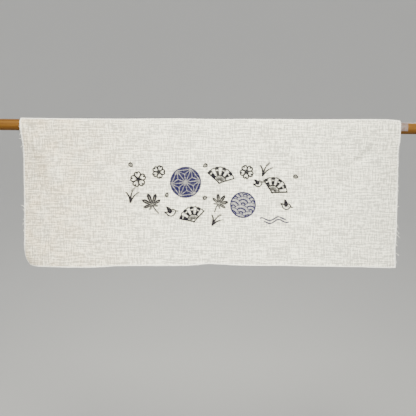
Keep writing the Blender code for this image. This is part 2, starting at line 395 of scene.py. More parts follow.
@dataclass(frozen=True)
class CottonFinish:
    """Thin undyed cotton in a plain weave of uneven yarns, printed in three inks, with painted shade down its
    left side and a painted highlight along its edges.
    """

    ground: Colour = (0.62, 0.613, 0.545)
    # warm: a warmer cotton tone, used for random clouds and also as painted shade down the left side.
    warm_tone_and_painted_shade: Colour = (0.578, 0.485, 0.365)
    # edge: a paler colour along all four edges, partly the denser selvedge yarns and partly a painted
    # highlight.
    edge: Colour = (0.96, 0.955, 0.91)
    dark: Colour = (0.0035, 0.003, 0.007)
    indigo: Colour = (0.008, 0.007, 0.040)
    blue: Colour = (0.075, 0.075, 0.115)
    yarn_pitch: float = 0.62 * MM
    yarn_wander: float = 1.2
    slubs_across: tuple[Slub, ...] = (Slub(11.0 * MM, 2.2 * MM, 0.80), Slub(48.0 * MM, 2.3 * MM, 0.92))
    slubs_down: tuple[Slub, ...] = (Slub(9.0 * MM, 2.2 * MM, 0.76), Slub(36.0 * MM, 2.3 * MM, 0.80))
    thick_pitch: float = 7.1 * MM
    thick_across: float = 0.52
    thick_down: float = 0.34
    thick_drift: float = 4.5
    slub_tone: float = 1.50
    tone_floor: float = 0.70
    tone_limit: float = 1.53
    # How much lighter the weave's crests are than its hollows: partly gaps between yarns, partly painted
    # shade in the hollows.
    weave_hollow_shade: float = 0.05
    blue_share: float = 0.94
    cloud_scale: float = 14.0
    cloud_share: float = 0.10
    # The patches break up the painted shade down the left side.
    shade_patch_scale: float = 30.0
    shade_patch_reach: float = 0.38
    weave_height: float = 0.10 * MM
    slub_height: float = 0.9 * MM

    def streak_scale(self, length: float, width: float, across: bool) -> Colour:
        """Return the scale of streaks of one size, which run across the towel or down it."""
        return (1.0 / length, 1.0 / width, 1.0) if across else (1.0 / width, 1.0 / length, 1.0)

    def streaks(self, desk: NodeDesk, thread: object, layers: Sequence[Slub],
                across: bool) -> bpy.types.NodeSocket:
        """Return slubs: streaks where one set of yarns is thicker or thinner.

        Args:
            desk: The material's node desk.
            thread: The cloth's flat coordinates.
            layers: The layers of streaks to add up.
            across: Whether these yarns run across the towel, or down it.

        Returns:
            The streaks, about 0 and mostly from -1 to 1.
        """
        total = None
        for number, slub in enumerate(layers):
            place = desk.scaled(thread, self.streak_scale(slub.length, slub.width, across))
            place = desk.shifted(place, (3.7 * number, 5.3, 2.9 * across))
            reach = 2.0 * slub.strength
            streak = desk.remap(desk.noise(place, 1.0, 1.0), 0.2, 0.8, -reach, reach)
            total = streak if total is None else desk.add(total, streak)
        return total

    def thick_yarns(self, desk: NodeDesk, thread: object, across: bool) -> bpy.types.NodeSocket:
        """Return the nearly even spacing of the thicker yarns.

        Args:
            desk: The material's node desk.
            thread: The cloth's flat coordinates.
            across: Whether these yarns run across the towel, or down it.

        Returns:
            The spacing's wave, from -1 to 1.
        """
        scale = self.streak_scale(9.0 * self.thick_pitch, 3.0 * self.thick_pitch, across)
        drift = desk.remap(desk.noise(desk.scaled(thread, scale), 1.0, 1.0), 0.2, 0.8,
                           -self.thick_drift, self.thick_drift)
        place = desk.split(thread)[1 if across else 0]
        return desk.math("SINE", desk.add(desk.times(place, math.tau / self.thick_pitch), drift))

    def weave(self, desk: NodeDesk, thread: object) -> bpy.types.NodeSocket:
        """Return the height of the plain weave.

        Args:
            desk: The material's node desk.
            thread: The cloth's flat coordinates.

        Returns:
            The height, from 0 to 1.
        """
        wander = self.yarn_wander * self.yarn_pitch
        wobble = desk.scaled(desk.noise(thread, 0.11 / self.yarn_pitch, 1.0, "Color"), (wander, wander, 0.0))
        turns = [desk.times(part, math.pi / self.yarn_pitch)
                 for part in desk.split(desk.shifted(thread, wobble))[:2]]
        rise_across, rise_down = (desk.math("SINE", turn) for turn in turns)
        crests = (desk.math("ABSOLUTE", desk.math("COSINE", turn)) for turn in turns)
        hollow_across, hollow_down = (desk.math("SUBTRACT", 1.0, crest) for crest in crests)
        over = desk.remap(desk.times(rise_across, rise_down), -1.0, 1.0)
        under = desk.math("SUBTRACT", 1.0, over)
        return desk.math("ADD", desk.times(over, hollow_across), desk.times(under, hollow_down), clamp=True)

    def shade(self, desk: NodeDesk, light: object) -> bpy.types.NodeSocket:
        """Return a lightness as a colour whose blue changes a little less."""
        blue = desk.math("POWER", light, self.blue_share)
        return desk.node("CombineColor", light, light, blue).outputs[0]

    def material(self) -> bpy.types.Material:
        """Dress the printed cotton.

        Returns:
            Its material.
        """
        desk = NodeDesk("printed_cotton")
        thread = desk.attribute("thread", "Vector")
        slubs = desk.add(self.streaks(desk, thread, self.slubs_across, True),
                         self.streaks(desk, thread, self.slubs_down, False))
        for across, share in ((True, self.thick_across), (False, self.thick_down)):
            slubs = desk.add(slubs, desk.times(self.thick_yarns(desk, thread, across), share))
        clouds = desk.remap(desk.noise(thread, self.cloud_scale, 3.0), 0.35, 0.65)
        patches = desk.remap(desk.noise(thread, self.shade_patch_scale), 0.35, 0.65, 1.0 - self.shade_patch_reach,
                             1.0 + self.shade_patch_reach)
        weave = self.weave(desk, thread)
        tone = desk.mix(desk.times(clouds, self.cloud_share), self.ground, self.warm_tone_and_painted_shade)
        # Painted shade: the left side is mixed towards the warm tone, so it is darker and warmer, broken up
        # by the patches.
        tone = desk.mix(desk.times(desk.attribute("left_painted_shade"), patches), tone, self.warm_tone_and_painted_shade)
        # The slubs' tone, plus the weave's hollows darker than its crests: partly gaps between yarns, partly
        # painted shade.
        light = desk.add(desk.math("POWER", self.slub_tone, slubs), desk.times(weave, self.weave_hollow_shade))
        light = desk.math("MAXIMUM", desk.math("MINIMUM", light, self.tone_limit), self.tone_floor)
        tone = desk.mix(1.0, tone, self.shade(desk, light), "MULTIPLY")
        # Painted highlight along all four edges, partly also the selvedges' denser yarns.
        tone = desk.mix(desk.attribute("edge"), tone, self.edge)
        taken = desk.remap(slubs, -0.5, 1.5, 1.0, 0.97)
        for ink, colour in ((Ink.BLUE, self.blue), (Ink.INDIGO, self.indigo), (Ink.DARK, self.dark)):
            tone = desk.mix(desk.math("MULTIPLY", desk.attribute(ink.value), taken, clamp=True), tone, colour)
        normal = desk.bump(weave, self.weave_height, 0.5)
        normal = desk.bump(desk.remap(slubs, -2.0, 2.0), self.slub_height, 0.8, normal)
        return desk.finish(tone, 0.92, normal, Sheen_Weight=0.02, Sheen_Roughness=0.5,
                           Specular_IOR_Level=0.06)


@dataclass(frozen=True)
class YarnFinish:
    """The loose cotton yarns at the raw ends."""

    colour: Colour = (0.83, 0.82, 0.76)

    def material(self) -> bpy.types.Material:
        """Dress the loose yarns.

        Returns:
            Their material.
        """
        desk = NodeDesk("loose_yarn")
        fluff = desk.noise(desk.position(), 2600.0, 2.0)
        shaded = tuple(part * 0.82 for part in self.colour)
        tone = desk.mix(desk.remap(fluff, 0.35, 0.65), shaded, self.colour)
        return desk.finish(tone, 0.95, desk.bump(fluff, 0.1 * MM, 0.6), Sheen_Weight=0.2)


@dataclass(frozen=True)
class WoodFinish:
    """Amber varnished wood with fine grain along the rod."""

    deep: Colour = (0.062, 0.024, 0.0055)
    middle: Colour = (0.121, 0.053, 0.0095)
    pale: Colour = (0.168, 0.078, 0.0155)

    def material(self) -> bpy.types.Material:
        """Dress the varnished wood.

        Returns:
            Its material.
        """
        desk = NodeDesk("amber_varnished_wood")
        place = desk.position()
        bend = desk.scaled(desk.noise(place, 5.0, 2.0, "Color"), (0.0, 4.0 * MM, 4.0 * MM))
        fibre = desk.scaled(desk.shifted(place, bend), (9.0, 520.0, 520.0))
        fine = desk.noise(fibre, 1.0, 4.0, roughness=0.65)
        broad = desk.noise(desk.scaled(place, (3.0, 120.0, 120.0)), 1.0, 2.0)
        tone = desk.mix(desk.remap(broad, 0.35, 0.65), self.middle, self.pale)
        tone = desk.mix(desk.remap(fine, 0.42, 0.72, 0.0, 0.85), tone, self.deep)
        pores = desk.noise(desk.scaled(place, (60.0, 1900.0, 1900.0)), 1.0, 1.0)
        tone = desk.mix(desk.remap(pores, 0.60, 0.72, 0.0, 0.5), tone, self.deep)
        rough = desk.remap(fine, 0.3, 0.7, 0.34, 0.5)
        normal = desk.bump(fine, 0.12 * MM, 0.35)
        return desk.finish(tone, rough, normal, Specular_IOR_Level=0.07, Coat_Weight=0.02,
                           Coat_Roughness=0.3)


@dataclass(frozen=True)
class TapeFinish:
    """Thin crinkled paper tape, slightly see-through over the wood."""

    paper: Colour = (0.146, 0.112, 0.114)
    thin: Colour = (0.119, 0.076, 0.061)
    fold: Colour = (0.225, 0.182, 0.186)

    def material(self) -> bpy.types.Material:
        """Dress the paper tape.

        Returns:
            Its material.
        """
        desk = NodeDesk("crinkled_paper_tape")
        place = desk.position()
        crinkle = desk.noise(desk.scaled(place, (900.0, 160.0, 160.0)), 1.0, 3.0)
        patches = desk.noise(place, 130.0, 2.0)
        tone = desk.mix(desk.remap(patches, 0.4, 0.62), self.paper, self.thin)
        tone = desk.mix(desk.remap(crinkle, 0.52, 0.7, 0.0, 0.7), tone, self.fold)
        return desk.finish(tone, 0.62, desk.bump(crinkle, 0.12 * MM, 0.7))


@dataclass(frozen=True)
class StudioFinish:
    """Plain pale matt floor."""

    colour: Colour = (0.68, 0.685, 0.69)

    def material(self) -> bpy.types.Material:
        """Dress the floor.

        Returns:
            Its material.
        """
        desk = NodeDesk("pale_floor")
        grain = desk.noise(desk.position(), 3.0, 3.0)
        shaded = tuple(part * 0.985 for part in self.colour)
        return desk.finish(desk.mix(grain, shaded, self.colour), 0.95, Specular_IOR_Level=0.1)


@dataclass
class TowelShape:
    """The surface that the towel hangs in: its solid's, with finer creases and more exact ends."""

    width: float = 900.0 * MM
    radius: float = 14.65 * MM
    lift_angle: float = math.radians(40.0)
    margin_end: float = 7.0 * MM
    free_from: float = 9.0 * MM
    free_at: float = 70.0 * MM
    fold_fade: float = 0.35
    turn_power: float = 1.6
    corner_across: float = -430.0 * MM
    corner_height: float = -285.0 * MM
    corner_angle: float = math.radians(30.0)
    corner_radius: float = 40.0 * MM
    ruffle: float = 0.35 * MM
    ruffle_length: float = 60.0 * MM
    selvedge_ruffle: float = 0.45 * MM
    selvedge_rise: float = 8.0 * MM
    top: tuple[Selvedge, ...] = rows(
        Selvedge,
        (-450.0, 15.5), (-355.0, 15.0), (-213.0, 15.5), (-72.0, 17.8), (0.0, 17.0), (105.0, 18.4),
        (247.0, 19.1), (389.0, 21.2), (424.0, 20.6), (452.0, 17.6))
    bottom: tuple[Selvedge, ...] = rows(
        Selvedge,
        (-429.0, -333.6), (-417.0, -336.2), (-403.0, -337.2), (-376.0, -337.4), (-352.0, -337.7),
        (-281.0, -337.6), (-210.0, -333.6), (-68.0, -331.4), (-33.0, -329.8), (3.0, -326.8),
        (38.0, -327.4), (73.0, -329.0), (215.0, -329.3), (357.0, -330.8), (428.0, -332.8),
        (445.0, -332.4))
    ends: tuple[RawEnds, ...] = rows(
        RawEnds,
        (22.0, -450.0, 452.4), (0.0, -450.8, 450.1), (-12.0, -449.5, 449.9), (-34.0, -445.7, 448.6),
        (-50.0, -444.2, 446.3), (-76.0, -443.8, 446.7), (-133.0, -443.4, 447.1), (-198.0, -441.3, 446.8),
        (-246.0, -440.2, 446.4), (-289.0, -440.0, 444.3), (-306.0, -440.2, 444.8),
        (-320.0, -437.0, 445.0), (-330.4, -430.5, 445.0), (-340.0, -422.0, 445.0))
    turns: tuple[SideTurn, ...] = rows(
        SideTurn,
        (-6.0, -440.0, 0.0, 430.0, 0.0), (-45.0, -415.0, 6.0, 385.0, 4.0),
        (-96.0, -382.0, 13.0, 343.0, 9.0), (-148.0, -350.0, 16.0, 318.0, 12.0),
        (-230.0, -345.0, 14.0, 300.0, 14.0), (-340.0, -350.0, 11.0, 296.0, 15.0))
    folds: tuple[Fold, ...] = rows(
        Fold,
        (414.0, -8.0, 338.0, -102.0, 11.0, 2.6), (404.0, 2.0, 318.0, -104.0, 16.0, -1.4),
        (-436.0, -8.0, -346.0, -150.0, 18.0, -2.4), (-428.0, -28.0, -418.0, -118.0, 16.0, 3.2),
        (3.0, -150.0, 3.0, -430.0, 26.0, 3.2), (-62.0, -110.0, -74.0, -430.0, 46.0, -2.8),
        (62.0, -110.0, 74.0, -430.0, 50.0, -2.4), (-168.0, -90.0, -164.0, -430.0, 42.0, 2.2),
        (-262.0, -70.0, -258.0, -430.0, 58.0, -2.6), (160.0, -100.0, 164.0, -430.0, 48.0, 1.8),
        (246.0, -70.0, 250.0, -430.0, 50.0, -2.4), (384.0, -110.0, 388.0, -430.0, 34.0, -2.2))
    creases: tuple[Fold, ...] = rows(
        Fold,
        (438.0, 16.0, 298.0, -109.0, 9.0, -2.0), (448.0, 7.0, 308.0, -118.0, 8.0, 3.8),
        (458.0, -6.0, 320.0, -130.0, 20.0, 2.4), (372.0, -50.0, 318.0, -102.0, 8.0, 2.4),
        (-452.0, 10.0, -330.0, -172.0, 16.0, -1.4), (-428.0, -28.0, -418.0, -118.0, 16.0, -1.3),
        (-344.0, -110.0, -338.0, -330.0, 12.0, -2.2), (1.0, -262.0, 3.0, -420.0, 5.0, 1.2),
        (-405.0, -255.0, -352.0, -330.0, 9.0, 1.2), (-300.0, -262.0, -210.0, -300.0, 9.0, 0.8),
        (296.0, -140.0, 330.0, -270.0, 9.0, 1.2))
    waves: tuple[Wave, ...] = rows(
        Wave,
        (520.0, 610.0, 0.4, 1.3), (-310.0, 420.0, 1.7, 0.9), (190.0, -330.0, 2.9, 0.5))

    def across(self, share: np.ndarray, height: np.ndarray) -> np.ndarray:
        """Return places along the rod.

        Args:
            share: Shares of the width, from the left raw end to the right one.
            height: Heights above the rod's axis.

        Returns:
            The place of each.
        """
        left = on_curve(self.ends, "height", "left", height)
        right = on_curve(self.ends, "height", "right", height)
        return left + (right - left) * share

    def drawn_in(self, height: np.ndarray) -> np.ndarray:
        """Return how far the lower left corner's yarns are drawn in from the straight.

        Args:
            height: Heights above the rod's axis.

        Returns:
            The distance at each height.
        """
        start = np.full_like(height, self.corner_height)
        straight = on_curve(self.ends, "height", "left", start)
        return np.where(height < start, on_curve(self.ends, "height", "left", height) - straight, 0.0)

    def drops(self, share: np.ndarray) -> tuple[np.ndarray, np.ndarray]:
        """Return the cloth's length above and below the rod's front line.

        Args:
            share: Shares of the width.

        Returns:
            The two lengths at each share.
        """
        zero = np.zeros_like(share)
        top_height = on_curve(self.top, "across", "height", self.across(share, zero))
        rise = self.radius * math.sin(self.lift_angle)
        above = self.radius * self.lift_angle + (top_height - rise) / math.cos(self.lift_angle)
        lowest = zero + self.bottom[0].height * MM
        below = -on_curve(self.bottom, "across", "height", self.across(share, lowest))
        return above, below

    def side_turn(self, across: np.ndarray, height: np.ndarray) -> np.ndarray:
        """Return how far back the turned sides stand.

        Args:
            across: Places along the rod, in metres.
            height: Heights above the rod's axis, in metres.

        Returns:
            The distance back at each place, in metres.
        """
        left_end = on_curve(self.ends, "height", "left", height)
        right_end = on_curve(self.ends, "height", "right", height)
        left = on_curve(self.turns, "height", "left_shoulder", height)
        right = on_curve(self.turns, "height", "right_shoulder", height)
        left_share = np.maximum(left - across, 0.0) / (left - left_end)
        right_share = np.maximum(across - right, 0.0) / (right_end - right)
        return (left_share ** self.turn_power * on_curve(self.turns, "height", "left_back", height)
                + right_share ** self.turn_power * on_curve(self.turns, "height", "right_back", height))

    def folded(self, folds: Sequence[Fold], across: np.ndarray, height: np.ndarray) -> np.ndarray:
        """Return how far back a set of folds stands.

        Args:
            folds: The folds.
            across: Places along the rod, in metres.
            height: Heights above the rod's axis, in metres.

        Returns:
            The distance back at each place, in metres.
        """
        depth = np.zeros_like(across)
        for fold in folds:
            run_x = (fold.to_across - fold.across) * MM
            run_z = (fold.to_height - fold.height) * MM
            length = math.hypot(run_x, run_z)
            from_x = across - fold.across * MM
            from_z = height - fold.height * MM
            along = (from_x * run_x + from_z * run_z) / length ** 2
            aside = (from_x * run_z - from_z * run_x) / length
            fades = ease(along / self.fold_fade) * ease((1.0 - along) / self.fold_fade)
            depth += fold.depth * MM * fades * np.exp(-(aside / (fold.half_width * MM)) ** 2)
        return depth

    def waved(self, across: np.ndarray, height: np.ndarray) -> np.ndarray:
        """Return how far back the slow unevenness stands.

        Args:
            across: Places along the rod, in metres.
            height: Heights above the rod's axis, in metres.

        Returns:
            The distance back at each place, in metres.
        """
        depth = self.ruffle * ripple(across, height, self.ruffle_length, 5)
        for wave in self.waves:
            turn = across / (wave.across_length * MM) + height / (wave.down_length * MM)
            depth += wave.height * MM * np.sin(math.tau * turn + wave.shift)
        return depth

    def rolled(self, points: np.ndarray) -> np.ndarray:
        """Curl back what lies beyond the lower left corner's line.

        Args:
            points: The sheet's points, one in each row.

        Returns:
            The curled points.
        """
        across, depth, height = points.T
        sideways, downward = math.cos(self.corner_angle), math.sin(self.corner_angle)
        beyond = (self.corner_across - across) * sideways + (self.corner_height - height) * downward
        beyond = np.maximum(beyond, 0.0)
        turn = beyond / self.corner_radius
        shift = beyond - self.corner_radius * np.sin(turn)
        back = self.corner_radius * (1.0 - np.cos(turn))
        return np.column_stack((across + shift * sideways, depth + back, height + shift * downward))

    def place(self, share: np.ndarray, drop: np.ndarray) -> np.ndarray:
        """Return points of the sheet's middle surface.

        Args:
            share: Shares of the width, from the left raw end to the right one.
            drop: Lengths along the cloth below the rod's front line, negative above it.

        Returns:
            One point in each row.
        """
        raised = np.minimum(drop, 0.0)
        angle = np.minimum(-raised / self.radius, self.lift_angle)
        straight = np.maximum(-raised - self.radius * self.lift_angle, 0.0)
        height = self.radius * np.sin(angle) + straight * math.cos(self.lift_angle)
        height = np.where(drop >= 0.0, -drop, height)
        depth = -self.radius * np.cos(angle) + straight * math.sin(self.lift_angle)
        across = self.across(share, height)
        freedom = ease((drop - self.free_from) / (self.free_at - self.free_from))
        depth = depth + freedom * (self.side_turn(across, height)
                                   + self.folded(self.folds + self.creases, across, height)
                                   + self.waved(across, height))
        lifted = ease((-drop - self.radius * self.lift_angle) / self.selvedge_rise)
        depth = depth + lifted * self.selvedge_ruffle * ripple(across, height, self.ruffle_length, 11)
        return self.rolled(np.column_stack((across, depth, height)))

    def normals(self, share: np.ndarray, drop: np.ndarray) -> np.ndarray:
        """Return the surface's unit normals, towards the printed side.

        Args:
            share: Shares of the width.
            drop: Lengths along the cloth below the rod's front line.

        Returns:
            One normal in each row.
        """
        step = 0.5 * MM
        share_step = step / self.width
        rightward = self.place(share + share_step, drop) - self.place(share - share_step, drop)
        downward = self.place(share, drop + step) - self.place(share, drop - step)
        normal = np.cross(downward, rightward)
        return normal / np.linalg.norm(normal, axis=1, keepdims=True)


@dataclass
class InkSheet:
    """Strengths of the inks at points of the cloth, drawn on in the print's own millimetres."""

    x: np.ndarray
    y: np.ndarray
    softness: float = 0.9
    layers: dict[Ink, np.ndarray] = field(default_factory=dict)

    def __post_init__(self) -> None:
        """Start with no ink."""
        for ink in Ink:
            self.layers[ink] = np.zeros_like(self.x)

    def near(self, centre: tuple[float, float], reach: float) -> np.ndarray:
        """Return the indices of the points within reach of a place."""
        distance = np.hypot(self.x - centre[0], self.y - centre[1])
        return np.nonzero(distance < reach + 3.0)[0]

    def lay(self, ink: Ink, index: np.ndarray, strength: np.ndarray) -> None:
        """Print where the new ink is stronger than what is there."""
        self.layers[ink][index] = np.maximum(self.layers[ink][index], strength)

    def lift(self, ink: Ink, index: np.ndarray, share: np.ndarray) -> None:
        """Take a share of an ink away, as where the stencil covered the cloth."""
        self.layers[ink][index] *= 1.0 - share

    def covered(self, distance: np.ndarray, width: float) -> np.ndarray:
        """Return a line's strength at distances from its middle."""
        return np.clip((0.5 * width - distance) / self.softness + 0.5, 0.0, 1.0)


def to_segments(points: np.ndarray, x: np.ndarray, y: np.ndarray) -> np.ndarray:
    """Return how far points are from a line.

    Args:
        points: The line's points, one in each row.
        x: The points' first coordinates.
        y: Their second coordinates.

    Returns:
        Each point's distance to the line's nearest place.
    """
    best = np.full_like(x, 1e9)
    for start, end in zip(points[:-1], points[1:]):
        run = end - start
        length = float(run @ run)
        if length == 0.0:
            continue
        t = np.clip(((x - start[0]) * run[0] + (y - start[1]) * run[1]) / length, 0.0, 1.0)
        best = np.minimum(best, np.hypot(x - start[0] - t * run[0], y - start[1] - t * run[1]))
    return best


def inside(points: np.ndarray, x: np.ndarray, y: np.ndarray) -> np.ndarray:
    """Return which points lie inside a closed outline.

    Args:
        points: The outline's points, one in each row.
        x: The points' first coordinates.
        y: Their second coordinates.

    Returns:
        Whether each point lies inside.
    """
    found = np.zeros(x.shape, dtype=bool)
    for start, end in zip(points, np.roll(points, -1, axis=0)):
        if start[1] == end[1]:
            continue
        crosses = (start[1] > y) != (end[1] > y)
        found ^= crosses & (x < (end[0] - start[0]) * (y - start[1]) / (end[1] - start[1]) + start[0])
    return found


def rounded(points: Sequence[tuple[float, float]], steps: int = 6, closed: bool = True) -> np.ndarray:
    """Return a smooth curve through a few points.

    Args:
        points: The points to pass through.
        steps: Number of pieces between two of them.
        closed: Whether the curve comes back to its start.

    Returns:
        The curve's points, one row each.
    """
    corners = np.array(points, dtype=float)
    count = len(corners)
    spans = count if closed else count - 1
    curve = []
    for i in range(spans):
        if closed:
            four = [corners[(i + k) % count] for k in (-1, 0, 1, 2)]
        else:
            four = [corners[min(max(i + k, 0), count - 1)] for k in (-1, 0, 1, 2)]
        for t in np.arange(steps) / steps:
            curve.append(0.5 * (2.0 * four[1] + (four[2] - four[0]) * t
                                + (2.0 * four[0] - 5.0 * four[1] + 4.0 * four[2] - four[3]) * t ** 2
                                + (3.0 * four[1] - four[0] - 3.0 * four[2] + four[3]) * t ** 3))
    curve.append(corners[0] if closed else corners[-1])
    return np.array(curve)


@dataclass
class Motif:
    """One printed figure: its place, turn and size in the print's millimetres."""

    x: float
    y: float
    turn: float
    size: float

    def local(self, sheet: InkSheet, reach: float) -> Spot:
        """Return the nearby points' indices and their places in the figure's own axes.

        Args:
            sheet: The sheet to print on.
            reach: How far the figure goes from its middle, as a share of its size.

        Returns:
            The indices and the two coordinates, as shares of the figure's size.
        """
        index = sheet.near((self.x, self.y), reach * self.size)
        angle = math.radians(self.turn)
        dx = sheet.x[index] - self.x
        dy = sheet.y[index] - self.y
        along = (dx * math.cos(angle) + dy * math.sin(angle)) / self.size
        up = (-dx * math.sin(angle) + dy * math.cos(angle)) / self.size
        return index, along, up

    def stroke(self, sheet: InkSheet, spot: Spot, line: np.ndarray, width: float, share: float = 1.0,
               ink: Ink = Ink.DARK) -> None:
        """Print a line through some points.

        Args:
            sheet: The sheet to print on.
            spot: The nearby points, as local gives them.
            line: The line's points, as shares of the figure's size.
            width: Its width in millimetres.
            share: How strongly it prints.
            ink: The ink.
        """
        index, x, y = spot
        sheet.lay(ink, index, share * sheet.covered(to_segments(line, x, y) * self.size, width))

    def dot(self, sheet: InkSheet, spot: Spot, place: tuple[float, float], width: float,
            share: float = 1.0) -> None:
        """Print a dark dot.

        Args:
            sheet: The sheet to print on.
            spot: The nearby points, as local gives them.
            place: The dot's middle, as shares of the figure's size.
            width: Its width in millimetres.
            share: How strongly it prints.
        """
        index, x, y = spot
        gap = np.hypot(x - place[0], y - place[1]) * self.size
        sheet.lay(Ink.DARK, index, share * sheet.covered(gap, width))

    def draw(self, sheet: InkSheet) -> None:
        """Print the figure."""
        raise NotImplementedError


@dataclass
class Roundel(Motif):
    """A round figure with a rim, drawn in millimetres."""

    rim: float = 3.3

    def parts(self, sheet: InkSheet) -> tuple[np.ndarray, ...]:
        """Return the nearby points and the rim over them.

        Args:
            sheet: The sheet to print on.

        Returns:
            The indices, the two coordinates, the distances from the middle and the rim's strength.
        """
        index, x, y = self.local(sheet, 1.0)
        x, y = x * self.size, y * self.size
        radius = np.hypot(x, y)
        return index, x, y, radius, sheet.covered(np.abs(radius - self.size + 0.5 * self.rim), self.rim)


@dataclass
class HempRoundel(Roundel):
    """An indigo roundel with a hemp-leaf pattern of paler stars."""

    rim: float = 3.2
    pitch: float = 34.0
    line: float = 1.15
    paler: float = 0.36

    def draw(self, sheet: InkSheet) -> None:
        """Print the roundel.

        Args:
            sheet: The sheet to print on.
        """
        index, x, y, radius, rim = self.parts(sheet)
        height = self.pitch * math.sqrt(3.0) / 2.0
        row = y / height
        column = x / self.pitch - 0.5 * row
        part_x, part_y = column - np.floor(column), row - np.floor(row)
        lower = part_x + part_y < 1.0
        shares = np.sort(np.stack((np.abs(1.0 - part_x - part_y), np.where(lower, part_x, 1.0 - part_x),
                                   np.where(lower, part_y, 1.0 - part_y))), axis=0)
        gap = np.minimum(shares[0] * height, (shares[1] - shares[0]) * 0.5 * self.pitch)
        strength = 1.0 - self.paler * sheet.covered(gap, self.line)
        strength = np.where(radius < self.size - 0.5 * self.rim, np.maximum(strength, rim), rim)
        sheet.lay(Ink.INDIGO, index, strength)


@dataclass
class WaveRoundel(Roundel):
    """A grey-blue roundel with overlapping round waves in indigo."""

    rim: float = 3.4
    pitch: float = 21.0
    line: float = 3.3
    ground: float = 0.70

    def draw(self, sheet: InkSheet) -> None:
        """Print the roundel.

        Args:
            sheet: The sheet to print on.
        """
        index, x, y, radius, rim = self.parts(sheet)
        gap = np.full_like(x, self.size)
        reach = int(math.ceil(self.size / self.pitch)) + 2
        for row in range(2 * reach, -2 * reach - 1, -1):
            for step in range(-reach, reach + 1):
                distance = np.hypot(x - (2 * step + row % 2) * self.pitch, y - 0.5 * row * self.pitch)
                rings = np.minimum.reduce([np.abs(distance - share * self.pitch)
                                           for share in (1.0, 0.60, 0.22)])
                gap = np.where(distance < self.pitch, rings, gap)
        within = sheet.covered(radius, 2.0 * self.size - self.rim)
        sheet.lay(Ink.BLUE, index, self.ground * within)
        sheet.lay(Ink.INDIGO, index, np.maximum(sheet.covered(gap, self.line) * within, rim))


@dataclass
class Stream(Motif):
    """Two wavy lines of running water."""

    line: float = 3.2

    def draw(self, sheet: InkSheet) -> None:
        """Print the lines.

        Args:
            sheet: The sheet to print on.
        """
        spot = self.local(sheet, 1.1)
        for lift, start, end in ((0.0, -1.0, 0.8), (-0.2, -0.7, 1.0)):
            places = np.linspace(start, end, 28)
            curve = np.column_stack((places, lift + 0.12 * np.sin(5.2 * places)))
            self.stroke(sheet, spot, curve, self.line, ink=Ink.INDIGO)


@dataclass
class Fan(Motif):
    """An open folding fan."""

    spread: float = 130.0
    leaves: int = 8
    inner: float = 0.44
    line: float = 3.6
    rib: float = 2.5
    shade: float = 1.0

    def draw(self, sheet: InkSheet) -> None:
        """Print the fan's leaves, ribs and guards.

        Args:
            sheet: The sheet to print on.
        """
        index, x, y = self.local(sheet, 1.1)
        angle = np.degrees(np.arctan2(x, y))
        radius = np.hypot(x, y)
        half = 0.5 * self.spread
        step = self.spread / self.leaves
        fold = (angle + half) / step
        within = np.abs(angle) < half
        outer = 1.0 - 0.035 * np.abs(2.0 * (fold - np.floor(fold)) - 1.0)
        paper = within & (radius > self.inner) & (radius < outer)
        band = np.abs(radius - 0.79) * self.size
        sheet.lay(Ink.DARK, index, self.shade * (paper & (np.floor(fold) % 2 == 0)))
        sheet.lift(Ink.DARK, index, sheet.covered(band, 1.7) * paper)
        rims = np.minimum(np.abs(radius - outer), np.abs(radius - self.inner)) * self.size
        sheet.lay(Ink.DARK, index, sheet.covered(rims, 0.85 * self.line) * within)
        aside = np.abs(fold - np.round(fold)) * math.radians(step) * radius * self.size
        ribs = sheet.covered(aside, self.rib) * (within & (radius < outer) & (radius > 0.08))
        sheet.lay(Ink.DARK, index, ribs * np.where(radius > self.inner, 0.7, 0.95))
        for side in (-1.0, 1.0):
            lean = math.radians(side * half)
            guard = np.array([(-0.04 * math.sin(lean), -0.10), (math.sin(lean), math.cos(lean))])
            self.stroke(sheet, (index, x, y), guard, self.line)


@dataclass
class MapleLeaf(Motif):
    """A dark leaf with seven pointed lobes, its veins left white."""

    line: float = 1.1
    vein: float = 0.3
    stem: float = 3.2
    fill: float = 1.0
    lobes: tuple[tuple[float, float], ...] = (
        (-126.0, 0.48), (-82.0, 0.76), (-41.0, 0.94), (0.0, 1.0), (41.0, 0.94), (82.0, 0.76), (126.0, 0.48))

    def outline(self) -> np.ndarray:
        """Work out the leaf's outline.

        Returns:
            Its points, as shares of the leaf's size.
        """
        points = []
        for number, (angle, length) in enumerate(self.lobes):
            for turn, share in ((-19.0, 0.36), (-16.5, 0.60), (-9.5, 0.84), (0.0, 1.0),
                                (9.5, 0.84), (16.5, 0.60), (19.0, 0.36)):
                lean = math.radians(angle + turn)
                points.append((length * share * math.sin(lean), length * share * math.cos(lean)))
            if number + 1 < len(self.lobes):
                middle = math.radians(0.5 * (angle + self.lobes[number + 1][0]))
                points.append((0.26 * math.sin(middle), 0.26 * math.cos(middle)))
        points.append((0.0, -0.08))
        return np.array(points)

    def draw(self, sheet: InkSheet) -> None:
        """Print the leaf.

        Args:
            sheet: The sheet to print on.
        """
        index, x, y = self.local(sheet, 1.15)
        outline = self.outline()
        gap = to_segments(np.vstack((outline, outline[:1])), x, y) * self.size
        signed = np.where(inside(outline, x, y), gap, -gap)
        sheet.lay(Ink.DARK, index, self.fill * np.clip(signed / sheet.softness + 0.8, 0.0, 1.0))
        for angle, length in self.lobes:
            lean = math.radians(angle)
            vein = np.array([(0.0, 0.0), (0.72 * length * math.sin(lean), 0.72 * length * math.cos(lean))])
            gap = to_segments(vein, x, y) * self.size
            sheet.lift(Ink.DARK, index, self.vein * sheet.covered(gap, self.line))
        stem = rounded([(0.0, -0.05), (0.05, -0.40), (0.18, -0.78)], closed=False)
        self.stroke(sheet, (index, x, y), stem, self.stem)


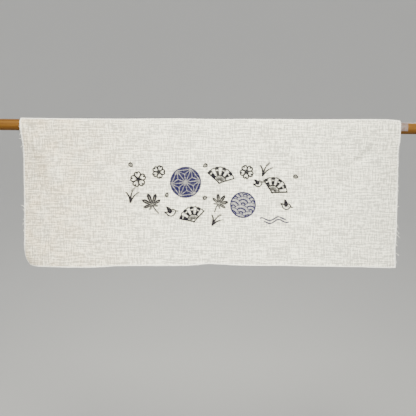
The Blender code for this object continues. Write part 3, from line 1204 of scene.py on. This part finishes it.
@dataclass
class CherryBlossom(Motif):
    """A five-petalled blossom with notched petals and stamens."""

    line: float = 3.5
    eye: float = 4.6

    def draw(self, sheet: InkSheet) -> None:
        """Print the blossom.

        Args:
            sheet: The sheet to print on.
        """
        index, x, y = self.local(sheet, 1.1)
        outline = rounded([(0.0, 0.16), (0.28, 0.42), (0.40, 0.70), (0.28, 0.95), (0.10, 0.99), (0.0, 0.80),
                           (-0.10, 0.99), (-0.28, 0.95), (-0.40, 0.70), (-0.28, 0.42)])
        stamen = np.array([(0.0, 0.0), (0.0, 0.40)])
        for petal in range(5):
            angle = math.radians(72.0 * petal)
            along = x * math.sin(angle) + y * math.cos(angle)
            aside = x * math.cos(angle) - y * math.sin(angle)
            self.stroke(sheet, (index, aside, along), outline, self.line)
            self.stroke(sheet, (index, aside, along), stamen, 0.5 * self.line, 0.9)
        self.dot(sheet, (index, x, y), (0.0, 0.0), self.eye)


@dataclass
class Plover(Motif):
    """A small round shore bird in flight."""

    line: float = 3.3
    eye: float = 2.6

    def draw(self, sheet: InkSheet) -> None:
        """Print the bird.

        Args:
            sheet: The sheet to print on.
        """
        spot = index, x, y = self.local(sheet, 1.35)
        body = rounded([(0.80, 0.20), (0.52, 0.48), (0.12, 0.42), (-0.34, 0.20), (-1.0, 0.26),
                        (-0.72, -0.06), (-0.48, -0.40), (0.04, -0.58), (0.54, -0.38), (0.76, -0.04)])
        self.stroke(sheet, spot, body, self.line)
        wing = rounded([(0.24, 0.20), (0.02, 0.74), (-0.52, 1.12), (-0.48, 0.60), (-0.36, 0.10),
                        (-0.05, -0.10)])
        sheet.lay(Ink.DARK, index, 1.0 * inside(wing, x, y))
        self.stroke(sheet, spot, wing, 0.6 * self.line)
        self.stroke(sheet, spot, np.array([(0.80, 0.16), (1.18, 0.04)]), self.line)
        self.dot(sheet, spot, (0.47, 0.12), self.eye)


@dataclass
class Grass(Motif):
    """Slender blades from one root, with a seed head."""

    line: float = 4.4
    seed: float = 2.8

    def draw(self, sheet: InkSheet) -> None:
        """Print the blades.

        Args:
            sheet: The sheet to print on.
        """
        index, x, y = self.local(sheet, 1.15)
        blades = ([(0.0, 0.0), (0.34, 0.14), (0.68, 0.20), (1.0, 0.12)],
                  [(0.0, 0.0), (0.33, -0.01), (0.62, -0.08), (0.86, -0.22)],
                  [(0.0, 0.0), (0.20, 0.16), (0.36, 0.34), (0.44, 0.54)])
        width = self.line * (1.15 - 0.75 * np.clip(x, 0.0, 1.0))
        for blade in blades:
            gap = to_segments(rounded(blade, closed=False), x, y) * self.size
            sheet.lay(Ink.DARK, index, np.clip((0.5 * width - gap) / sheet.softness + 0.5, 0.0, 1.0))
        for seed in range(4):
            self.dot(sheet, (index, x, y), (1.0 - 0.1 * seed, 0.20 + 0.025 * seed), self.seed, 0.9)


@dataclass
class Petal(Motif):
    """One fallen petal."""

    line: float = 2.7
    fill: float = 0.75

    def draw(self, sheet: InkSheet) -> None:
        """Print the petal.

        Args:
            sheet: The sheet to print on.
        """
        index, x, y = self.local(sheet, 1.1)
        outline = rounded([(0.0, -0.9), (0.55, -0.25), (0.62, 0.4), (0.25, 0.85), (0.0, 0.5),
                           (-0.25, 0.85), (-0.62, 0.4), (-0.55, -0.25)])
        sheet.lay(Ink.DARK, index, self.fill * inside(outline, x, y))
        self.stroke(sheet, (index, x, y), outline, self.line)


@dataclass
class Print:
    """The towel's printed middle: separate traditional figures scattered over a wide field."""

    centre_across: float = 3.0 * MM
    centre_height: float = -156.0 * MM
    half_width: float = 214.0 * MM
    half_height: float = 90.0 * MM
    show_through: float = 0.22
    figures: tuple[Motif, ...] = (
        HempRoundel(-60.0, 22.0, 8.0, 37.0),
        WaveRoundel(76.0, -30.0, -14.0, 31.0),
        Fan(20.0, 24.0, -12.0, 35.0),
        Fan(-40.0, -68.0, 18.0, 33.0),
        Fan(146.0, 2.0, -26.0, 34.0),
        MapleLeaf(-138.0, -32.0, 24.0, 30.0),
        MapleLeaf(18.0, -28.0, -38.0, 26.0),
        CherryBlossom(-172.0, 28.0, 10.0, 17.5),
        CherryBlossom(-124.0, 46.0, -20.0, 14.5),
        CherryBlossom(84.0, 48.0, 28.0, 15.5),
        Plover(-94.0, -50.0, 12.0, 14.0),
        Plover(178.0, -32.0, -14.0, 13.0),
        Plover(112.0, 20.0, 20.0, 11.0),
        Grass(-190.0, -26.0, 64.0, 36.0),
        Grass(122.0, 40.0, 52.0, 34.0),
        Grass(4.0, -78.0, 40.0, 32.0),
        Stream(150.0, -62.0, 4.0, 33.0),
        Petal(-190.0, 62.0, 40.0, 6.2),
        Petal(-14.0, 62.0, -50.0, 5.8),
        Petal(200.0, 38.0, 70.0, 6.0),
        Petal(-14.0, -14.0, 110.0, 5.6),
        Petal(-104.0, -8.0, 160.0, 5.4),
    )

    def holds(self, across: np.ndarray, height: np.ndarray) -> np.ndarray:
        """Return which points lie in the printed field."""
        return ((np.abs(across - self.centre_across) < self.half_width)
                & (np.abs(height - self.centre_height) < self.half_height))

    def inks(self, across: np.ndarray, height: np.ndarray) -> dict[Ink, np.ndarray]:
        """Return each ink's strength at points of the cloth.

        Args:
            across: Places along the rod, in metres.
            height: Heights above the rod's axis, in metres.

        Returns:
            An array from 0 to 1 for each ink.
        """
        result = {ink: np.zeros_like(across) for ink in Ink}
        field_points = np.nonzero(self.holds(across, height))[0]
        sheet = InkSheet((across[field_points] - self.centre_across) / MM,
                         (height[field_points] - self.centre_height) / MM)
        for figure in self.figures:
            figure.draw(sheet)
        for ink, layer in sheet.layers.items():
            result[ink][field_points] = layer
        return result


@dataclass
class Towel:
    """The printed sheet of cotton, a thin closed mesh that is finer where it is printed."""

    shape: TowelShape = field(default_factory=TowelShape)
    motifs: Print = field(default_factory=Print)
    finish: CottonFinish = field(default_factory=CottonFinish)
    thickness: float = 0.5 * MM
    selvedge_extra: float = 0.3 * MM
    edge_width: float = 3.6 * MM
    edge_places: tuple[float, ...] = (0.0, 0.45, 1.0)
    # How strongly the painted edge highlight shows inside the edge band.
    edge_highlight_strength: float = 1.5
    edge_jitter: float = 0.45 * MM
    # Painted shade down the left side: its strength, and the share of the width that it fades across.
    left_painted_shade: float = 0.6
    painted_shade_share: float = 0.45
    columns: int = 200
    margin_length: float = 27.0 * MM
    body_length: float = 325.0 * MM
    margin_rows: int = 12
    body_rows: int = 76
    print_edge: float = 0.04
    fine_steps: int = 5
    back_steps: int = 2
    flat_height: float = 357.0 * MM

    def shares(self) -> np.ndarray:
        """Work out the mesh's coarse places across, closer at the raw ends.

        Returns:
            The places, as shares of the width.
        """
        inner = np.linspace(0.0, 1.0, self.columns + 1)[1:-1]
        near = np.array(self.edge_places) * self.edge_width / self.shape.width
        return np.concatenate((near, inner, 1.0 - near[::-1]))

    def levels(self) -> np.ndarray:
        """Work out the mesh's coarse places down, closer at the selvedges.

        Returns:
            The places, from 0 to 1 on the margin and from 1 to 2 below it.
        """
        near = np.array(self.edge_places) * self.edge_width
        margin = np.linspace(0.0, 1.0, self.margin_rows + 1)[1:]
        body = 1.0 + np.linspace(0.0, 1.0, self.body_rows + 1)[1:-1]
        margin = margin[margin > 1.6 * near[2] / self.margin_length]
        return np.concatenate((near / self.margin_length, margin, body, 2.0 - near[::-1] / self.body_length))

    def drop(self, share: np.ndarray, level: np.ndarray) -> np.ndarray:
        """Return the length below the rod's front line at places of the mesh.

        Args:
            share: Shares of the width.
            level: Places down, from 0 to 2.

        Returns:
            The length at each place, in metres.
        """
        above, below = self.shape.drops(np.clip(share, 0.0, 1.0))
        margin = -above + (above + self.shape.margin_end) * np.minimum(level, 1.0)
        body = (below - self.shape.margin_end) * np.maximum(level - 1.0, 0.0)
        return margin + body

    @staticmethod
    def finer(places: np.ndarray, steps: int) -> np.ndarray:
        """Return places with each gap between them cut into equal steps."""
        positions = np.arange((len(places) - 1) * steps + 1) / steps
        return np.interp(positions, np.arange(len(places)), places)

    def lattice(self, steps: int) -> tuple[np.ndarray, np.ndarray]:
        """Lay a fine lattice over the whole towel.

        Args:
            steps: How many steps a coarse cell is cut into.

        Returns:
            The lattice's shares of the width and its drops.
        """
        share, level = np.meshgrid(self.finer(self.shares(), steps), self.finer(self.levels(), steps),
                                   indexing="ij")
        return share, self.drop(share.ravel(), level.ravel()).reshape(share.shape)

    def printed_cells(self) -> np.ndarray:
        """Find the coarse cells that hold an edge of the print.

        Returns:
            Whether each coarse cell does.
        """
        steps = self.fine_steps
        share, drop = self.lattice(steps)
        height = -drop.ravel()
        across = self.shape.across(share.ravel(), height)
        inks = self.motifs.inks(across, height)
        total = np.sum([layer for layer in inks.values()], axis=0).reshape(share.shape)
        cells = ((share.shape[0] - 1) // steps, (share.shape[1] - 1) // steps)
        high = np.full(cells, -1.0)
        low = np.full(cells, 9.0)
        for i in range(steps + 1):
            for j in range(steps + 1):
                part = total[i:i + cells[0] * steps:steps, j:j + cells[1] * steps:steps]
                high = np.maximum(high, part[:cells[0], :cells[1]])
                low = np.minimum(low, part[:cells[0], :cells[1]])
        return high - low > self.print_edge

    def face_mesh(self, marked: np.ndarray, steps: int) -> tuple[np.ndarray, list[list[int]], np.ndarray]:
        """Return one face's lattice indices and polygons.

        Args:
            marked: Which coarse cells are cut finer.
            steps: How many steps such a cell is cut into.

        Returns:
            The used lattice places, the polygons over them, and the number of each lattice place.
        """
        columns, rows = marked.shape
        used = np.zeros((columns * steps + 1, rows * steps + 1), dtype=bool)
        used[::steps, ::steps] = True
        for i, j in zip(*np.nonzero(marked)):
            used[i * steps:(i + 1) * steps + 1, j * steps:(j + 1) * steps + 1] = True
        number = np.full(used.shape, -1, dtype=int)
        number[used] = np.arange(int(used.sum()))
        polygons = []
        for i in range(columns):
            for j in range(rows):
                a, b = i * steps, j * steps
                if marked[i, j]:
                    for p in range(a, a + steps):
                        for q in range(b, b + steps):
                            polygons.append([number[p, q], number[p, q + 1], number[p + 1, q + 1],
                                             number[p + 1, q]])
                    continue
                ring = np.concatenate((number[a, b:b + steps], number[a:a + steps, b + steps],
                                       number[a + steps, b + steps:b:-1], number[a + steps:a:-1, b]))
                polygons.append(ring[ring >= 0].tolist())
        return np.argwhere(used), polygons, number

    def build(self) -> bpy.types.Object:
        """Build and dress the towel.

        Returns:
            The towel's object.
        """
        marked = self.printed_cells()
        parts = []
        for face, steps in ((Face.FRONT, self.fine_steps), (Face.BACK, self.back_steps)):
            share, drop = self.lattice(steps)
            used, polygons, number = self.face_mesh(marked, steps)
            chosen = (used[:, 0], used[:, 1])
            parts.append(self.one_face(face, share[chosen], drop[chosen]))
            parts[-1].update(polygons=polygons, rim=round_edge(number, steps))
        count = len(parts[0]["points"])
        polygons = parts[0]["polygons"]
        polygons += [[count + index for index in reversed(polygon)] for polygon in parts[1]["polygons"]]
        front_rim, back_rim = parts[0]["rim"], [count + index for index in parts[1]["rim"]]
        for i in range(len(front_rim)):
            after = (i + 1) % len(front_rim)
            polygons.append([front_rim[i], front_rim[after], back_rim[after], back_rim[i]])
        towel = new_mesh_object("printed_towel", np.vstack([part["points"] for part in parts]), polygons)
        for name in ("thread", "edge", "left_painted_shade", *(ink.value for ink in Ink)):
            store(towel, name, np.concatenate([part[name] for part in parts]))
        towel.data.materials.append(self.finish.material())
        return towel

    def one_face(self, face: Face, share: np.ndarray, drop: np.ndarray) -> dict[str, np.ndarray]:
        """Return one face's points and what is stored at them.

        Args:
            face: Which face.
            share: The points' shares of the width.
            drop: Their drops below the rod's front line.

        Returns:
            The points and the stored values by name.
        """
        above, below = self.shape.drops(share)
        to_end = np.minimum(share, 1.0 - share) * self.shape.width
        to_selvedge = np.minimum(drop + above, below - drop)
        side = np.clip(1.0 - to_end / self.edge_width, 0.0, 1.0)
        border = np.clip(1.0 - to_selvedge / self.edge_width, 0.0, 1.0)
        jitter = ripple(share * self.shape.width, drop, 7.0 * MM, 21)
        points = self.shape.place(share, drop)
        outward = np.where(share < 0.5, -1.0, 1.0)
        points[:, 0] += outward * side ** 3 * self.edge_jitter * jitter
        half = 0.5 * (self.thickness + self.selvedge_extra * border ** 0.5)
        points += self.shape.normals(share, drop) * (half * face.value)[:, None]
        height = -drop
        across = self.shape.across(share, height)
        inks = self.motifs.inks(across, height)
        if face is Face.BACK:
            inks = {ink: layer * self.motifs.show_through for ink, layer in inks.items()}
        values: dict[str, np.ndarray] = {ink.value: layer for ink, layer in inks.items()}
        values["points"] = points
        drawn_in = self.shape.drawn_in(height) * (1.0 - share)
        values["thread"] = np.column_stack((share * self.shape.width + drawn_in, drop, np.zeros_like(drop)))
        # edge: where the painted edge highlight shows, on all four sides.
        values["edge"] = np.clip(self.edge_highlight_strength * np.maximum(side, border), 0.0, 1.0)
        # Painted shade: strongest at the left raw end, fading out towards the middle.
        values["left_painted_shade"] = self.left_painted_shade * ease((self.painted_shade_share - share) / self.painted_shade_share)
        return values


@dataclass
class LooseYarns:
    """Yarns that have come out of the towel's raw ends."""

    shape: TowelShape
    finish: YarnFinish = field(default_factory=YarnFinish)
    radius: float = 0.28 * MM
    wisp_radius: float = 0.50 * MM
    root_length: float = 1.6 * MM
    bend: float = math.radians(9.0)
    fall_back: float = 0.35
    sides: int = 5
    stubs_per_side: int = 150
    stub_drift: float = 0.8 * MM
    corner_gap: float = 36.0 * MM
    left_wisps: tuple[tuple[float, float, float], ...] = (
        (22.0, 6.0, -35.0), (34.0, 7.0, 20.0), (50.0, 8.0, -20.0), (196.0, 10.0, 42.0), (206.0, 7.0, 60.0),
        (224.0, 6.0, -15.0), (232.0, 9.0, -48.0), (250.0, 6.0, -30.0))
    right_wisps: tuple[tuple[float, float, float], ...] = (
        (112.0, 5.0, -25.0), (136.0, 6.0, -40.0), (146.0, 7.0, -30.0), (186.0, 6.0, 10.0),
        (228.0, 12.0, -44.0), (243.0, 12.0, -40.0), (252.0, 14.0, -42.0), (268.0, 7.0, -30.0),
        (276.0, 8.0, -36.0), (297.0, 12.0, -28.0), (316.0, 8.0, -34.0))

    def path(self, side: int, drop: float, length: float, lean: float, curl: float) -> np.ndarray:
        """Return the points of one yarn.

        Args:
            side: -1 for the left raw end and 1 for the right one.
            drop: Where it leaves the cloth, below the rod's front line, in metres.
            length: Its loose length, in metres.
            lean: Its angle above the horizontal, in degrees.
            curl: How much it bends down and back, from -1 to 1.

        Returns:
            Its points, from inside the cloth outwards.
        """
        share = np.array([0.0 if side < 0 else 1.0])
        inner = share - side * self.root_length / self.shape.width
        root = self.shape.place(inner, np.array([drop]))[0]
        edge = self.shape.place(share, np.array([drop]))[0]
        angle = math.radians(lean)
        points = [root, edge]
        for step in range(1, 6):
            along = step / 5.0 * length
            angle -= self.bend * curl
            reach = along / step
            points.append(points[-1] + np.array([side * reach * math.cos(angle),
                                                 self.fall_back * curl * reach, reach * math.sin(angle)]))
        return np.array(points)

    def tube(self, path: np.ndarray, full_radius: float) -> tuple[np.ndarray, list[list[int]]]:
        """Make a thin closed tube round a path.

        Args:
            path: The path's points, one in each row.
            full_radius: The tube's radius before its tip.

        Returns:
            Its points and its faces.
        """
        count = len(path)
        points = []
        for number, middle in enumerate(path):
            run = path[min(number + 1, count - 1)] - path[max(number - 1, 0)]
            run = run / np.linalg.norm(run)
            first = np.cross(run, (0.0, 1.0, 0.0))
            first = first / np.linalg.norm(first)
            second = np.cross(run, first)
            radius = full_radius * (1.0 if number < count - 1 else 0.45)
            for corner in range(self.sides):
                turn = math.tau * corner / self.sides
                points.append(middle + radius * (math.cos(turn) * first + math.sin(turn) * second))
        faces = [[corner for corner in reversed(range(self.sides))]]
        faces += ring_walls(0, count - 1, self.sides, inward=True)
        faces.append([(count - 1) * self.sides + corner for corner in range(self.sides)])
        return np.array(points), faces

    def build(self) -> bpy.types.Object:
        """Build and dress the loose yarns.

        Returns:
            Their joined object.
        """
        draw = np.random.default_rng(7)
        yarn_runs = []
        for side, wisps in ((-1, self.left_wisps), (1, self.right_wisps)):
            for drop, length, lean in wisps:
                path = self.path(side, drop * MM, length * MM, lean, draw.uniform(0.2, 1.0))
                yarn_runs.append((path, self.wisp_radius))
            above, below = self.shape.drops(np.array([0.0 if side < 0 else 1.0]))
            low = -float(above[0]) + 4.0 * MM
            high = float(below[0]) - (self.corner_gap if side < 0 else 3.0 * MM)
            for drop in np.linspace(low, high, self.stubs_per_side):
                place = drop + draw.uniform(-1.0, 1.0) * self.stub_drift
                length = draw.uniform(0.5, 1.9) * MM
                path = self.path(side, place, length, draw.uniform(-30.0, 25.0), draw.uniform(-0.6, 1.0))
                yarn_runs.append((path, self.radius))
        points, faces, start = [], [], 0
        for path, radius in yarn_runs:
            tube_points, tube_faces = self.tube(path, radius)
            points.append(tube_points)
            faces += [[start + index for index in face] for face in tube_faces]
            start += len(tube_points)
        yarns = new_mesh_object("loose_yarns", np.vstack(points), faces)
        yarns.data.materials.append(self.finish.material())
        return yarns


@dataclass
class Rod:
    """The round pole, turned with slightly uneven sides and eased ends."""

    finish: WoodFinish = field(default_factory=WoodFinish)
    radius: float = 13.5 * MM
    length: float = 1060.0 * MM
    sides: int = 80
    stations: int = 150
    ease_width: float = 1.2 * MM
    unevenness: float = 0.12 * MM

    def build(self) -> bpy.types.Object:
        """Build and dress the rod.

        Returns:
            The rod's object.
        """
        half = 0.5 * self.length
        turns = np.radians([0.0, 22.5, 45.0, 67.5, 90.0])
        end_x = half - self.ease_width + self.ease_width * np.cos(turns)
        end_radius = self.radius - self.ease_width + self.ease_width * np.sin(turns)
        middle_x = np.linspace(half - 4.0 * self.ease_width, -half + 4.0 * self.ease_width, self.stations)
        stations = np.concatenate((end_x, middle_x, -end_x[::-1]))
        radii = np.concatenate((end_radius, np.full(self.stations, self.radius), end_radius[::-1]))
        angle = np.arange(self.sides) / self.sides * math.tau
        x = np.repeat(stations, self.sides)
        round_angle = np.tile(angle, len(stations))
        shrink = self.unevenness * (0.5 + 0.5 * ripple(x, round_angle * self.radius, 90.0 * MM, 3))
        radius = np.repeat(radii, self.sides) - np.clip(shrink, 0.0, self.unevenness)
        points = np.column_stack((x, radius * np.cos(round_angle), radius * np.sin(round_angle)))
        faces = [list(range(self.sides))]
        faces += ring_walls(0, len(stations) - 1, self.sides)
        faces.append([(len(stations) - 1) * self.sides + side for side in reversed(range(self.sides))])
        rod = new_mesh_object("varnished_rod", points, faces)
        rod.data.materials.append(self.finish.material())
        return rod


@dataclass
class PaperTape:
    """The strip of paper tape that holds the towel's margin to the rod."""

    finish: TapeFinish = field(default_factory=TapeFinish)
    left: float = -444.0 * MM
    right: float = 468.5 * MM
    inner_radius: float = 13.55 * MM
    outer_radius: float = 14.1 * MM
    lower_angle: float = math.radians(-33.0)
    upper_angle: float = math.radians(84.0)
    stations: int = 260
    steps: int = 26
    crinkle: float = 0.11 * MM
    tear: float = 0.5 * MM
    slant: float = 1.1 * MM
    short: float = 0.8 * MM

    def build(self) -> bpy.types.Object:
        """Build and dress the tape.

        Returns:
            The tape's object.
        """
        spread = np.linspace(0.0, 1.0, self.stations)
        shares = np.concatenate((spread[:-1] * 0.96, 0.96 + 0.04 * np.linspace(0.0, 1.0, 40)))
        share, angle = np.meshgrid(shares, np.linspace(self.lower_angle, self.upper_angle, self.steps + 1),
                                   indexing="ij")
        x = self.left + (self.right - self.left) * share
        arc = angle * self.outer_radius
        torn = self.tear * ripple(np.zeros_like(x), arc, 6.0 * MM, 31)
        slant = self.slant * (angle - self.lower_angle) / (self.upper_angle - self.lower_angle)
        x = x + ease((share - 0.97) / 0.03) * (torn + slant - self.short)
        edge = np.clip(1.0 - np.minimum(angle - self.lower_angle, self.upper_angle - angle) / 0.05, 0.0, 1.0)
        lift = self.crinkle * ripple(x * 2.2, arc, 9.0 * MM, 32) * (1.0 - edge)
        shape = share.shape
        count = shape[0] * shape[1]
        points = []
        outer = self.outer_radius + np.minimum(lift, 0.5 * self.crinkle)
        for radius in (outer, np.full_like(outer, self.inner_radius)):
            points.append(np.column_stack((x.ravel(), (-radius * np.cos(angle)).ravel(),
                                           (radius * np.sin(angle)).ravel())))
        number = np.arange(count).reshape(shape)
        faces = []
        for i in range(shape[0] - 1):
            for j in range(shape[1] - 1):
                quad = [number[i, j], number[i + 1, j], number[i + 1, j + 1], number[i, j + 1]]
                faces.append(quad)
                faces.append([count + index for index in reversed(quad)])
        rim = round_edge(number)
        for i, here in enumerate(rim):
            after = rim[(i + 1) % len(rim)]
            faces.append([here, count + here, count + after, after])
        tape = new_mesh_object("paper_tape_strip", np.vstack(points), faces)
        tape.data.set_sharp_from_angle(angle=math.radians(50.0))
        tape.data.materials.append(self.finish.material())
        return tape


@dataclass
class Studio:
    """The pale floor, the soft lights and the camera."""

    finish: StudioFinish = field(default_factory=StudioFinish)
    floor_height: float = -1.3
    floor_radius: float = 1.6
    room_radius: float = 4.2
    wall_height: float = 4.0
    frame_width: float = 0.9826
    camera_distance: float = 1.6
    view_across: float = -3.5 * MM
    view_height: float = -194.1 * MM
    cloth_plane: float = -15.0 * MM
    roll: float = math.radians(0.57)
    sensor: float = 36.0

    def floor(self) -> None:
        """Make a round floor whose rim sweeps up far behind the towel, the same on all sides."""
        sweep = self.room_radius - self.floor_radius
        profile = [(0.0, self.floor_height), (self.floor_radius, self.floor_height)]
        for angle in np.radians(np.linspace(0.0, 90.0, 25)[1:]):
            profile.append((self.floor_radius + sweep * math.sin(angle),
                            self.floor_height + sweep * (1.0 - math.cos(angle))))
        profile.append((self.room_radius, self.floor_height + self.wall_height))
        sides = 96
        points = [(0.0, 0.0, self.floor_height)]
        for radius, height in profile[1:]:
            for side in range(sides):
                turn = math.tau * side / sides
                points.append((radius * math.cos(turn), radius * math.sin(turn), height))
        faces = [[0, 1 + side, 1 + (side + 1) % sides] for side in range(sides)]
        faces += ring_walls(1, len(profile) - 2, sides)
        floor = new_mesh_object("studio_floor", np.array(points), faces)
        floor.data.materials.append(self.finish.material())

    def light(self, name: str, place: Colour, size: float, power: float, colour: Colour,
              spread: float, aim: float) -> None:
        """Make one soft square light that points at the middle of the rod or below it.

        Args:
            name: The light's name.
            place: Where it stands.
            size: The length of its side.
            power: Its power in watts.
            colour: Its colour.
            spread: The angle that its light fans out to, in degrees.
            aim: The height that it points at.
        """
        lamp = bpy.data.lights.new(name, "AREA")
        lamp.size = size
        lamp.energy = power
        lamp.color = colour
        lamp.spread = math.radians(spread)
        item = bpy.data.objects.new(name, lamp)
        item.location = place
        target = Vector((0.0, 0.0, aim))
        item.rotation_euler = (target - Vector(place)).to_track_quat("-Z", "Y").to_euler()
        bpy.context.scene.collection.objects.link(item)

    def lights(self) -> None:
        """Light the towel from the front and above, and the room from all round."""
        self.light("key", (0.0, -1.7, 1.1), 0.6, 22.0, (1.0, 0.98, 0.83), 62.0, -0.42)
        self.light("fill", (0.3, -2.0, -0.6), 1.2, 5.6, (1.0, 0.99, 0.94), 70.0, -0.3)
        self.light("back", (0.9, 2.2, 1.0), 1.4, 24.0, (1.0, 0.985, 0.93), 90.0, -0.15)
        world = bpy.data.worlds.new("soft_room")
        world.use_nodes = True
        background = world.node_tree.nodes["Background"]
        background.inputs["Color"].default_value = (1.0, 0.99, 0.95, 1.0)
        background.inputs["Strength"].default_value = 0.85
        bpy.context.scene.world = world

    def camera(self) -> None:
        """Set the camera square to the towel, turned by the rod's slope in the picture."""
        data = bpy.data.cameras.new("view")
        data.sensor_width = self.sensor
        data.lens = self.sensor * self.camera_distance / self.frame_width
        camera = bpy.data.objects.new("view", data)
        right = Vector((math.cos(self.roll), 0.0, math.sin(self.roll)))
        up = Vector((-math.sin(self.roll), 0.0, math.cos(self.roll)))
        back = Vector((0.0, -1.0, 0.0))
        turn = Matrix((right, up, back)).transposed().to_4x4()
        place = Vector((self.view_across, self.cloth_plane - self.camera_distance, self.view_height))
        camera.matrix_world = Matrix.Translation(place) @ turn
        bpy.context.scene.collection.objects.link(camera)
        bpy.context.scene.camera = camera

    def build(self) -> None:
        """Make the whole studio."""
        self.floor()
        self.lights()
        self.camera()


def hang(item: bpy.types.Object, node: str) -> None:
    """Let a piece ride on the frame in place of its solid, and log it.

    Args:
        item: The finished piece.
        node: The solid that it stands for.
    """
    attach(item, "root")
    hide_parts(node)
    triangles = sum(len(polygon.vertices) - 2 for polygon in item.data.polygons)
    LOG.info("%s: %d triangles, for %s", item.name, triangles, node)


def main() -> None:
    """Build the studio, then the rod, the tape, the towel and its loose yarns."""
    logging.basicConfig(level=logging.INFO, format="%(name)s: %(message)s")
    Studio().build()
    hang(Rod().build(), "rod")
    tape = PaperTape().build()
    hang(tape, "tape")
    towel = Towel()
    cloth = towel.build()
    hang(cloth, "tenugui")
    yarns = LooseYarns(towel.shape).build()
    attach(yarns, "root")
    LOG.info("%s: %d points", yarns.name, len(yarns.data.vertices))


if __name__ == "__main__":
    main()
